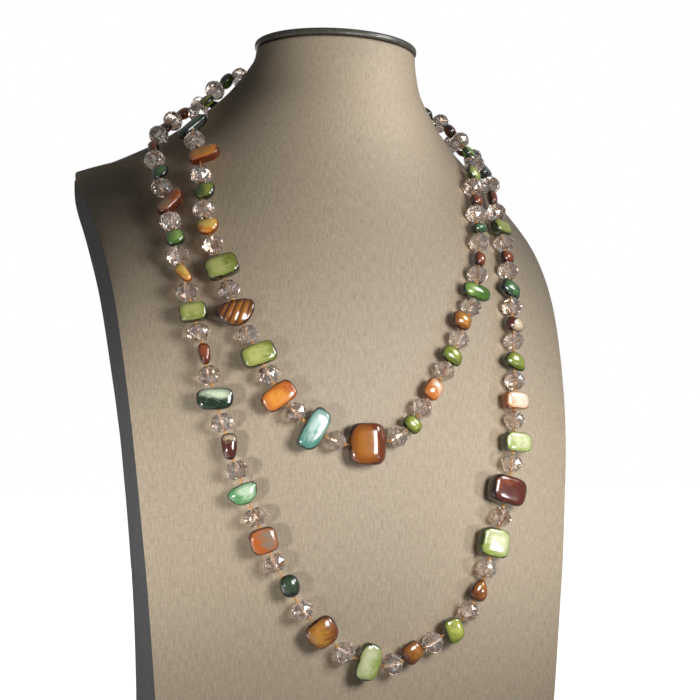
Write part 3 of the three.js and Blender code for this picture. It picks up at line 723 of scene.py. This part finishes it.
def thread_tree():
    """Two plies twisted about a path."""
    tree, start = new_tree("twisted_thread", {
        "Ply Diameter": ("Float", PLY_DIAMETER),
        "Pitch": ("Float", PLY_PITCH),
        "Step": ("Float", THREAD_STEP),
        "Material": ("Material", None),
    })
    path = add(tree, "GeometryNodeMeshToCurve", {0: start["Geometry"]})
    fine = add(tree, "GeometryNodeResampleCurve", {"Curve": path, "Length": start["Step"]}, mode="LENGTH")
    length = add(tree, "GeometryNodeSplineParameter").outputs["Length"]
    turns = add(tree, "ShaderNodeMath", {0: length, 1: start["Pitch"]}, operation="DIVIDE")
    angle = add(tree, "ShaderNodeMath", {0: turns, 1: math.tau}, operation="MULTIPLY")
    twisted = add(tree, "GeometryNodeSetCurveTilt", {"Curve": fine, "Tilt": angle})
    radius = add(tree, "ShaderNodeMath", {0: start["Ply Diameter"], 1: 0.5}, operation="MULTIPLY")
    inputs = {"Resolution": STRAND_SIDES, "Radius": radius}
    ply = add(tree, "GeometryNodeCurvePrimitiveCircle", inputs)
    plies = add(tree, "GeometryNodeJoinGeometry")
    for side in (-PLY_CLOSENESS, PLY_CLOSENESS):
        offset = add(tree, "ShaderNodeMath", {0: radius, 1: side}, operation="MULTIPLY")
        place = add(tree, "ShaderNodeCombineXYZ", {"X": offset})
        moved = add(tree, "GeometryNodeTransform", {"Geometry": ply, "Translation": place})
        tree.links.new(moved.outputs[0], plies.inputs[0])
    inputs = {"Curve": twisted, "Profile Curve": plies, "Fill Caps": True}
    tube = add(tree, "GeometryNodeCurveToMesh", inputs)
    end_tree(tree, tube, start["Material"])
    return tree


def shell_field(points, row, ridged):
    """The implicit form of a polished shell: 1 on its surface, less inside. Points are in the bead's own
    directions, in millimetres: across the thread, along it, and out from the bust."""
    finish, width, height, thickness, skew, shift, squareness, taper = row
    lean = math.radians(skew)
    x = points[..., 0] - shift
    y = points[..., 1]
    across = x * math.cos(lean) + y * math.sin(lean)
    up = y * math.cos(lean) - x * math.sin(lean)
    narrowing = np.clip(1 - taper * 2 * up / height, 0.4, 1.6)
    outline = (
        np.abs(2 * across / (width * narrowing)) ** squareness + np.abs(2 * up / height) ** squareness)
    # A square outline has a flatter face than an oval one
    faced = FLAT_FACED if squareness >= SQUARE_OUTLINE else ROUND_FACED
    depth = points[..., 2]
    if ridged:
        # The front slopes away from a ridge near one end of the thread: little one way, steeply the other
        past = up - RIDGE_PLACE * height
        slope = np.where(past > 0, RIDGE_FALL * past, -RIDGE_BACK_FALL * past)
        rounding = RIDGE_ROUNDING * np.exp(-np.abs(past) / RIDGE_SOFTNESS)
        depth = np.where(depth > 0, depth + slope + rounding, depth)
    field = outline ** (faced / squareness) + np.abs(2 * depth / thickness) ** faced
    return field, outline ** (1 / squareness), across, up


def shell_grid(row, key, seed):
    """A polished shell as rings round its drilled hole, in the bead's own directions, in millimetres."""
    around, rings = FAN_GRID if key == FAN_SHELL else SHELL_GRID
    angles = np.linspace(0, math.tau, around, endpoint=False)
    width, height, thickness = row[1:4]
    hole = DRILL_RADIUS / MM
    steps = np.linspace(0, math.pi, rings + 2)[1:-1]
    directions = np.stack([
        width * np.sin(steps)[:, None] * np.sin(angles)[None, :],
        height * np.cos(steps)[:, None] * np.ones(around)[None, :],
        thickness * np.sin(steps)[:, None] * np.cos(angles)[None, :],
    ], axis=-1)
    directions /= np.linalg.norm(directions, axis=-1, keepdims=True)
    origin = np.zeros(3)
    mouth = np.stack([hole * np.sin(angles), np.zeros(around), hole * np.cos(angles)], axis=-1)
    upward = np.array([0, 1.0, 0])

    def reach(bases, ways):
        low = np.zeros(bases.shape[:-1])
        high = np.full(bases.shape[:-1], FARTHEST)
        for _ in range(HALVINGS):
            middle = (low + high) / 2
            inside = shell_field(bases + ways * middle[..., None], row, key == RIDGED_SHELL)[0] < 1
            low = np.where(inside, middle, low)
            high = np.where(inside, high, middle)
        return low

    body = directions * reach(origin + 0 * directions, directions)[..., None]
    top = mouth + upward * reach(mouth, upward + 0 * mouth)[..., None]
    bottom = mouth - upward * reach(mouth, 0 * mouth - upward)[..., None]
    # Rings that would fall inside the drilled hole are pushed out to just past its edge
    radial = np.hypot(body[..., 0], body[..., 2])
    push = np.maximum(1.0, hole * HOLE_MARGIN / np.maximum(radial, 1e-6))
    body[..., 0] *= push
    body[..., 2] *= push
    # Tumbling leaves each shell a little uneven, always inside its size
    for r in range(rings):
        for a in range(around):
            place = Vector(body[r, a]) / DENT_SPACING + Vector((seed * 3.7, key[1] * 5.1, 0))
            dent = 0.5 + 0.5 * noise.noise(place)
            body[r, a] *= 1 - DENT_DEPTH * dent * push[r, a] ** -4
    return np.concatenate([top[None], body, bottom[None]])


def shell_object(name, row, place, key, material):
    """A drilled, polished shell at its place on the thread."""
    middle, along, out = place
    across = along.cross(out)
    turn_name, number = key
    seed = TURN_SEEDS[turn_name]
    grid = shell_grid(row, key, seed)
    rings, around = grid.shape[:2]
    field, share, side, up = shell_field(grid, row, False)
    if key == FAN_SHELL:
        # Ribs run slantwise over the front and spread a little towards the upper edge
        slant = RIB_ACROSS * side - RIB_UP * up
        ribs = 0.5 + 0.5 * np.cos(math.tau * slant / (RIB_PITCH + RIB_SPREAD * up))
        front = np.clip(grid[..., 2] / (row[3] / 2), 0, 1) * np.clip(1.5 - share, 0, 1)
        grid[..., 2] -= RIB_DEPTH * (1 - ribs) * front
    basis = np.array([across, along, out])
    world = (grid @ basis) * MM + np.array(middle)
    vertices = world.reshape(-1, 3)
    faces = []
    for r in range(rings):
        for a in range(around):
            corners = ((r, a), (r, a + 1), (r + 1, a + 1), (r + 1, a))
            faces.append([(i % rings) * around + j % around for i, j in corners])
    thing = new_object(name, vertices, faces, material)
    angle, offset, sharpness = PALE_SIDES.get(key, DEFAULT_PALE_SIDE)
    pale = np.array([math.cos(math.radians(angle)), 0, math.sin(math.radians(angle))])
    size = max(row[1], row[2]) / 2 * MM
    lean = ((world - np.array(middle)) @ pale) / size
    tone = 0.5 + 0.5 * np.tanh(sharpness * (lean + offset))
    if key == FAN_SHELL:
        tone = 0.15 + 0.75 * np.sqrt(ribs) - 0.03 * slant
    turned = random.Random(number * 7 + seed).uniform(-0.5, 0.5)
    grain = np.stack([
        side * math.cos(turned) - up * math.sin(turned) + number * 11,
        side * math.sin(turned) + up * math.cos(turned) + seed * 17,
        grid[..., 2],
    ], axis=-1)
    mesh = thing.data
    mesh.attributes.new("tone", "FLOAT", "POINT").data.foreach_set("value", tone.ravel())
    mesh.attributes.new("rim", "FLOAT", "POINT").data.foreach_set("value", np.clip(share, 0, 2).ravel())
    mesh.attributes.new("grain", "FLOAT_VECTOR", "POINT").data.foreach_set("vector", grain.ravel())
    return shaded(thing, 50)


def outward(thing):
    """Turns all faces of a closed mesh to point outwards."""
    work = bmesh.new()
    work.from_mesh(thing.data)
    bmesh.ops.recalc_face_normals(work, faces=work.faces)
    work.to_mesh(thing.data)
    work.free()
    return thing


def joined(name, things):
    """Several objects as one."""
    if len(things) > 1:
        work = bpy.context.copy()
        work["active_object"] = things[0]
        work["selected_editable_objects"] = things
        with bpy.context.temp_override(**work):
            bpy.ops.object.join()
    things[0].name = name
    things[0].data.name = name
    return things[0]


def dress_turn(turn_name, rows, rope):
    """All that one turn of the rope carries."""
    centres = thread_rings(rope)
    places = bead_places(centres)
    crystals = points_object(f"crystals_{turn_name}", places[0::2])
    grown(crystals, crystal_cuts, Material=glass, Seed=CRYSTAL_SEEDS[turn_name])
    belongs(crystals, "rope", f"rope_{turn_name}")
    path = new_object(f"thread_{turn_name}", centres, [])
    work = bmesh.new()
    corners = [work.verts.new(point) for point in centres]
    for first, second in zip(corners, corners[1:]):
        work.edges.new((first, second))
    work.to_mesh(path.data)
    work.free()
    grown(path, thread_twist, Material=silk)
    belongs(path, "rope")
    between = []
    for before, after, start, end in zip(places, places[1:], centres[2::2], centres[3::2]):
        between.append(((start + end) / 2, (before[1] + after[1]).normalized(), before[2]))
    ends = [(centres[0], places[0][1], places[0][2]), (centres[-1], places[-1][1], places[-1][2])]
    knots = points_object(f"knots_{turn_name}", between + (ends if turn_name == "inner" else []))
    grown(knots, knot_coils, Material=silk, Seed=KNOT_SEED)
    belongs(knots, "rope")
    chips = {}
    for number, (row, place) in enumerate(zip(rows, places[1::2]), start=1):
        finish = row[0]
        key = (turn_name, number)
        node = f"shell_{turn_name}_{number:02d}_{finish}"
        material = shell_materials[SPECIAL_LOOKS.get(key, finish)]
        thing = shell_object(node.replace("shell", "nugget"), row, place, key, material)
        outward(thing)
        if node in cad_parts:
            belongs(thing, finish, node)
        else:
            chips.setdefault(finish, []).append(thing)
    for finish, things in chips.items():
        belongs(joined(f"chips_{turn_name}_{finish}", things), "rope")


def bust_sections(copy):
    """The measures of each ring of the bust's frame: height, half width, front, edge, back and fullness."""
    rows = []
    for ring in levels_of(copy):
        half = max(point.x for point in ring)
        edge = max(point.y for point in ring if abs(abs(point.x) - half) < EDGE_TOLERANCE)
        front = min(point.y for point in ring)
        back = max(point.y for point in ring) - edge
        at = math.sin(math.radians(45)) * half
        beside = min(ring, key=lambda point: abs(point.x - at) + (1 if point.y > edge - 0.1 * MM else 0))
        bow = (edge - beside.y) / (edge - front)
        fullness = 2 * math.log(math.cos(math.radians(45))) / math.log(bow)
        rows.append((ring[0].z, half, front, edge, back, fullness))
    return np.array(rows)


def smooth_between(rows, heights):
    """Rows of measures at new heights, on smooth curves through the given ones."""
    known = rows[:, 0]
    slopes = np.diff(rows, axis=0) / np.diff(known)[:, None]
    product = slopes[:-1] * slopes[1:]
    total = slopes[:-1] + slopes[1:]
    safe = np.where(product > 0, total, 1)
    inner = np.where(product > 0, 2 * product / safe, 0)
    tangents = np.vstack([slopes[:1], inner, slopes[-1:]])
    index = np.clip(np.searchsorted(known, heights) - 1, 0, len(known) - 2)
    step = (known[index + 1] - known[index])[:, None]
    t = (heights[:, None] - known[index][:, None]) / step
    return (
        (2 * t ** 3 - 3 * t ** 2 + 1) * rows[index]
        + (t ** 3 - 2 * t ** 2 + t) * step * tangents[index]
        + (3 * t ** 2 - 2 * t ** 3) * rows[index + 1]
        + (t ** 3 - t ** 2) * step * tangents[index + 1])


def eased_collar(grid, sections):
    """Eases the frame's crease across the foot of the neck, where the cloth is stretched smooth, by less
    than the room that the beads have."""
    levels, halves, fronts, edges, backs, fullnesses = sections.T

    def front_at(x, z):
        half, front, edge, fullness = (
            np.interp(z, levels, column) for column in (halves, fronts, edges, fullnesses))
        inside = np.clip(1 - (x / half) ** 2, 0, 1)
        return edge - (edge - front) * inside ** (1 / fullness)

    x, y, z = grid[..., 0], grid[..., 1], grid[..., 2]
    spread = 0
    total = 0
    for step in np.linspace(-2, 2, 17):
        share = math.exp(-step * step)
        spread = spread + share * front_at(x, z + step * COLLAR_EASE)
        total += share
    level = z / levels[-1]
    weight = np.clip((COLLAR_REACH - np.abs(x)) / COLLAR_FADE, 0, 1)
    weight *= np.clip((level - COLLAR_FOOT) / FOOT_FADE, 0, 1)
    weight *= np.clip((COLLAR_TOP - level) / HEAD_FADE, 0, 1)
    weight = np.where(y < front_at(x, z) + MM, weight * weight * (3 - 2 * weight), 0)
    y += weight * (spread / total - y)
    return grid


def dress_bust(copy):
    """The linen form, finer than the frame's and on the same surface, with its top hem rolled over."""
    rows = bust_sections(copy)
    top = rows[-1, 0]
    hem = np.linspace(0, 1, HEM_RINGS)
    heights = np.concatenate([
        np.linspace(0, CHEST_TOP * top, CHEST_RINGS)[:-1],
        np.linspace(CHEST_TOP * top, COLLAR_TOP * top, COLLAR_RINGS)[:-1],
        np.linspace(COLLAR_TOP * top, top - HEM_RADIUS, NECK_RINGS)[:-1],
        top - HEM_RADIUS + HEM_RADIUS * np.sin(hem * math.pi / 2),
    ])
    sections = smooth_between(rows, heights)
    front_turns = np.radians(np.linspace(-90, 90, FRONT_STEPS + 1))
    back_turns = np.radians(np.linspace(90, 270, BACK_STEPS + 1))[1:-1]
    turns = np.concatenate([front_turns, back_turns])
    rings = []
    for z, half, front, edge, back, fullness in sections:
        above = max(0.0, z - (top - HEM_RADIUS))
        inset = HEM_RADIUS - math.sqrt(max(0.0, HEM_RADIUS ** 2 - above ** 2))
        facing = np.cos(turns)
        bow = np.maximum(0, facing) ** (2 / fullness)
        y = np.where(facing >= 0, edge - (edge - front - inset) * bow, edge - (back - inset) * facing)
        x = (half - inset) * np.sin(turns)
        rings.append(np.stack([x, y, np.full(len(turns), z)], axis=-1))
    grid = eased_collar(np.array(rings), sections)
    count, around = grid.shape[:2]
    form = new_object("bust_linen", grid.reshape(-1, 3), tube_faces(count, around), linen())
    # The cloth's own measures: how far a point is round from the front, and up from the ground
    closed = np.concatenate([grid, grid[:, :1]], axis=1)
    round_lengths = np.cumsum(np.linalg.norm(np.diff(closed, axis=1), axis=-1), axis=1)
    u = np.concatenate([np.zeros((count, 1)), round_lengths], axis=1)
    u -= u[:, FRONT_STEPS // 2][:, None]
    rises = np.linalg.norm(np.diff(closed, axis=0), axis=-1)
    v = np.concatenate([np.zeros((1, around + 1)), np.cumsum(rises, axis=0)])
    layer = form.data.uv_layers.new(name="cloth")
    values = np.zeros((len(form.data.loops), 2))
    for polygon in form.data.polygons:
        indices = [form.data.loops[i].vertex_index for i in polygon.loop_indices]
        columns = [index % around for index in indices]
        wraps = len(indices) == 4 and max(columns) - min(columns) > 1
        for loop, index in zip(polygon.loop_indices, indices):
            r, a = divmod(index, around)
            if wraps and a == 0:
                a = around
            values[loop] = (u[r, a], v[r, a])
    layer.data.foreach_set("uv", values.ravel())
    outward(form)
    shaded(form, 40)
    belongs(form, "linen", "neck_bust")


def dress_board(copy):
    """The board, with its frame's sections joined on smooth curves up its height."""
    rows = []
    for level in levels_of(copy):
        right = [point for point in level if point.x > 0]
        # From the groove's bottom to its top, out along it, back along the side and over the chamfer
        ordered = sorted(right, key=lambda point: (round(point.y / LEVEL_TOLERANCE), point.x))
        flat = [level[0].z]
        for point in ordered:
            flat += [point.x, point.y]
        rows.append(flat)
    rows = np.array(rows)
    heights = np.linspace(rows[0, 0], rows[-1, 0], BOARD_RINGS)
    sections = smooth_between(rows, heights)
    pairs = (rows.shape[1] - 1) // 2
    rings = []
    for section in sections:
        right = [(section[1 + 2 * i], section[2 + 2 * i], section[0]) for i in range(pairs)]
        left = [(-x, y, z) for x, y, z in reversed(right)]
        rings.append(right + left)
    points = [point for ring in rings for point in ring]
    board = new_object("bust_board", points, tube_faces(len(rings), 2 * pairs), board_cloth())
    outward(board)
    shaded(board, 30)
    belongs(board, "board", "bust_back")


def dress_cap():
    """The disc on the neck, turned with rounded edges."""
    low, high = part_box("neck_cap")
    profile = []
    for level, direction in ((low.z, -1), (high.z, 1)):
        for step in range(CAP_STEPS + 1):
            share = step / CAP_STEPS if direction > 0 else 1 - step / CAP_STEPS
            angle = share * math.pi / 2
            inset = CAP_ROUNDING * (1 - math.cos(angle))
            profile.append((inset, level - direction * CAP_ROUNDING * (1 - math.sin(angle))))
    vertices = []
    for inset, z in profile:
        for i in range(CAP_SIDES):
            angle = math.tau * i / CAP_SIDES
            vertices.append(((high.x - inset) * math.cos(angle), (high.y - inset) * math.sin(angle), z))
    cap = new_object("bust_cap", vertices, tube_faces(len(profile), CAP_SIDES), cap_lacquer())
    outward(cap)
    shaded(cap, 50)
    belongs(cap, "cap", "neck_cap")


def aimed(name, data, azimuth, elevation, distance, target):
    """A lamp that faces a point. Azimuth 0 is in front, positive to the viewer's right."""
    lamp = linked(bpy.data.objects.new(name, data))
    lamp.visible_camera = False
    turn, rise = math.radians(azimuth), math.radians(elevation)
    back = Vector((math.sin(turn) * math.cos(rise), -math.cos(turn) * math.cos(rise), math.sin(rise)))
    lamp.location = Vector(target) + back * distance
    lamp.rotation_euler = back.to_track_quat("Z", "Y").to_euler()
    return lamp


def softbox(name, azimuth, elevation, distance, size, power, target=CHEST_MIDDLE):
    """A square area light of a size in metres."""
    data = bpy.data.lights.new(name, "AREA")
    data.shape = "SQUARE"
    data.size = size
    data.energy = power
    return aimed(name, data, azimuth, elevation, distance, target)


def spot(name, azimuth, elevation, distance, cone, power, target):
    """A spotlight with a cone in degrees, which fades from its middle to its edge."""
    data = bpy.data.lights.new(name, "SPOT")
    data.spot_size = math.radians(cone)
    data.spot_blend = 1.0
    data.shadow_soft_size = SPOT_RADIUS
    data.energy = power
    return aimed(name, data, azimuth, elevation, distance, target)


def studio():
    """A plain pale floor and surround, a soft key light from the right, low fills from the left, soft spots
    on the chest's two sides and on the neck, and a window that shows in polished surfaces alone."""
    corners = [(x * FLOOR_REACH, y * FLOOR_REACH, 0) for x, y in ((-1, -1), (1, -1), (1, 1), (-1, 1))]
    floor = new_object("floor", corners, [[0, 1, 2, 3]])
    material, tree, shader = new_material("studio_floor", Roughness=0.9, Base_Color=colour("#ffffff"))
    shader.inputs["Emission Color"].default_value = colour("#ffffff")
    shader.inputs["Emission Strength"].default_value = 1.1
    floor.data.materials.append(material)
    floor.visible_diffuse = False
    floor.visible_glossy = False
    floor.visible_shadow = False
    softbox("key_light", 16, 8, 0.31, 0.12, 0.86)
    softbox("side_light", -85, -30, 0.33, 0.2, 0.3, (-0.02, -0.03, 0.12))
    softbox("low_light", -40, -38, 0.32, 0.2, 0.08, (-0.02, -0.03, 0.1))
    spot("left_panel_light", -48, -8, 0.5, 20, 5.7, (-0.075, -0.03, 0.12))
    spot("right_panel_light", 38, -8, 0.5, 19, 3.5, (0.075, -0.03, 0.11))
    spot("neck_light", 40, 0, 0.5, 13, 7.0, (0.014, -0.02, 0.296))
    softbox("back_light", 180, -12, 0.9, 0.6, 3.0)
    window = softbox("window_gleam", 54, 27, 0.7, 0.22, 2.2)
    window.visible_diffuse = False
    world = bpy.data.worlds.new("studio")
    bpy.context.scene.world = world
    world.use_nodes = True
    tree = world.node_tree
    tree.nodes.clear()
    path = add(tree, "ShaderNodeLightPath")
    tint = colour("#ffffff")
    for ray, shade in (("Transmission", "#c2b5a6"), ("Glossy", "#8c8c8c"), ("Diffuse", "#121212")):
        inputs = {0: path.outputs[f"Is {ray} Ray"], 6: tint, 7: colour(shade)}
        tint = add(tree, "ShaderNodeMix", inputs, data_type="RGBA").outputs[2]
    surround = add(tree, "ShaderNodeBackground", {"Color": tint, "Strength": 1.0})
    add(tree, "ShaderNodeOutputWorld", {"Surface": surround})


def camera():
    """The camera at the photograph's place."""
    data = bpy.data.cameras.new("camera")
    data.sensor_width = SENSOR_WIDTH
    data.lens = CAMERA_LENS
    data.clip_start = 0.01
    thing = linked(bpy.data.objects.new("camera", data))
    thing.location = CAMERA_PLACE
    thing.rotation_euler = (math.radians(90 + CAMERA_PITCH), 0, math.radians(-CAMERA_HEADING))
    bpy.context.scene.camera = thing


bust_frame = merged_copy("neck_bust")
bust_surface = BVHTree.FromBMesh(bust_frame)
dress_bust(bust_frame)
dress_board(merged_copy("bust_back"))
dress_cap()

glass = crystal_glass()
silk = silk_thread()
shell_materials = {name: dyed_shell(name) for name in SHELL_COLOURS if name != "ribbed"}
shell_materials["ribbed"] = dyed_shell("ribbed", RIBBED_UNEVENNESS)
crystal_cuts = crystal_tree()
knot_coils = knot_tree()
thread_twist = thread_tree()
dress_turn("inner", INNER_SHELLS, merged_copy("rope_inner"))
dress_turn("outer", OUTER_SHELLS, merged_copy("rope_outer"))

studio()
camera()
bpy.context.scene.view_settings.view_transform = "Standard"
